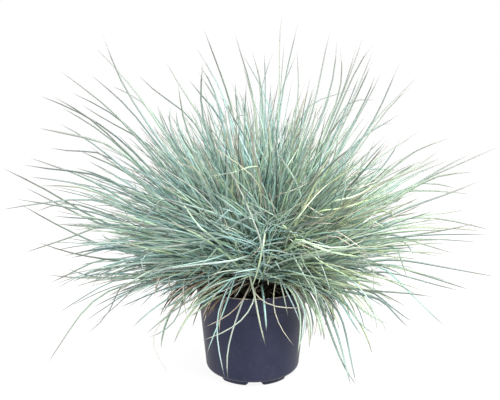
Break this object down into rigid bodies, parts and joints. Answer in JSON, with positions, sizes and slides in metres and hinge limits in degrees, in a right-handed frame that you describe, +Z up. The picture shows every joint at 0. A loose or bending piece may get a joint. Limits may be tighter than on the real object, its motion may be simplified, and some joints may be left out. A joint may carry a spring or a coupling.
{
  "type": "potted blue fescue clump",
  "caption": "Bushy mound of fine blue-green fescue grass growing in a round dark plastic nursery pot, for a patio or garden bed.",
  "frame": {"origin": "centre of the pot's foot, on the surface that the pot stands on, under the middle of the clump's outline", "axes": "+Z up along the pot's axis; -Y is the front, as seen in the picture; +X is to the right seen from the front"},
  "size_m": [0.5846, 0.54, 0.4061],
  "materials": {
    "pot_plastic": "satin",
    "potting_soil": "matte",
    "crown_thatch": "matte",
    "blue_leaf": "matte",
    "straw_leaf": "matte"
  },
  "bodies": {
    "root": {"pot": "pot_plastic", "soil": "potting_soil", "crown": "crown_thatch", "tuft_01": "blue_leaf", "tuft_02": "blue_leaf", "tuft_03": "blue_leaf", "tuft_04": "blue_leaf", "tuft_05": "blue_leaf", "tuft_06": "blue_leaf", "tuft_07": "blue_leaf", "tuft_08": "blue_leaf", "tuft_09": "blue_leaf", "tuft_10": "blue_leaf", "tuft_11": "blue_leaf", "tuft_12": "blue_leaf", "tuft_13": "blue_leaf", "tuft_14": "blue_leaf", "tuft_15": "blue_leaf", "tuft_16": "blue_leaf", "tuft_17": "blue_leaf", "tuft_18": "blue_leaf", "tuft_19": "blue_leaf", "tuft_20": "blue_leaf", "tuft_21": "blue_leaf", "tuft_22": "blue_leaf", "tuft_23": "blue_leaf", "tuft_24": "blue_leaf", "tuft_25": "blue_leaf", "tuft_26": "blue_leaf", "tuft_27": "blue_leaf", "tuft_28": "blue_leaf", "tuft_29": "blue_leaf", "tuft_30": "blue_leaf", "tuft_31": "blue_leaf", "tuft_32": "blue_leaf", "tuft_33": "blue_leaf", "tuft_34": "blue_leaf", "tuft_35": "blue_leaf", "tuft_36": "blue_leaf", "tuft_37": "blue_leaf", "tuft_38": "blue_leaf", "tuft_39": "blue_leaf", "tuft_40": "blue_leaf", "hanging_tuft_1": "blue_leaf", "hanging_tuft_2": "blue_leaf", "hanging_tuft_3": "blue_leaf", "hanging_tuft_4": "blue_leaf", "hanging_tuft_5": "blue_leaf", "hanging_tuft_6": "blue_leaf", "hanging_tuft_7": "blue_leaf", "hanging_tuft_8": "blue_leaf", "hanging_tuft_9": "blue_leaf", "straw_tuft_1": "straw_leaf", "straw_tuft_2": "straw_leaf", "straw_tuft_3": "straw_leaf"}
  },
  "joints": []
}
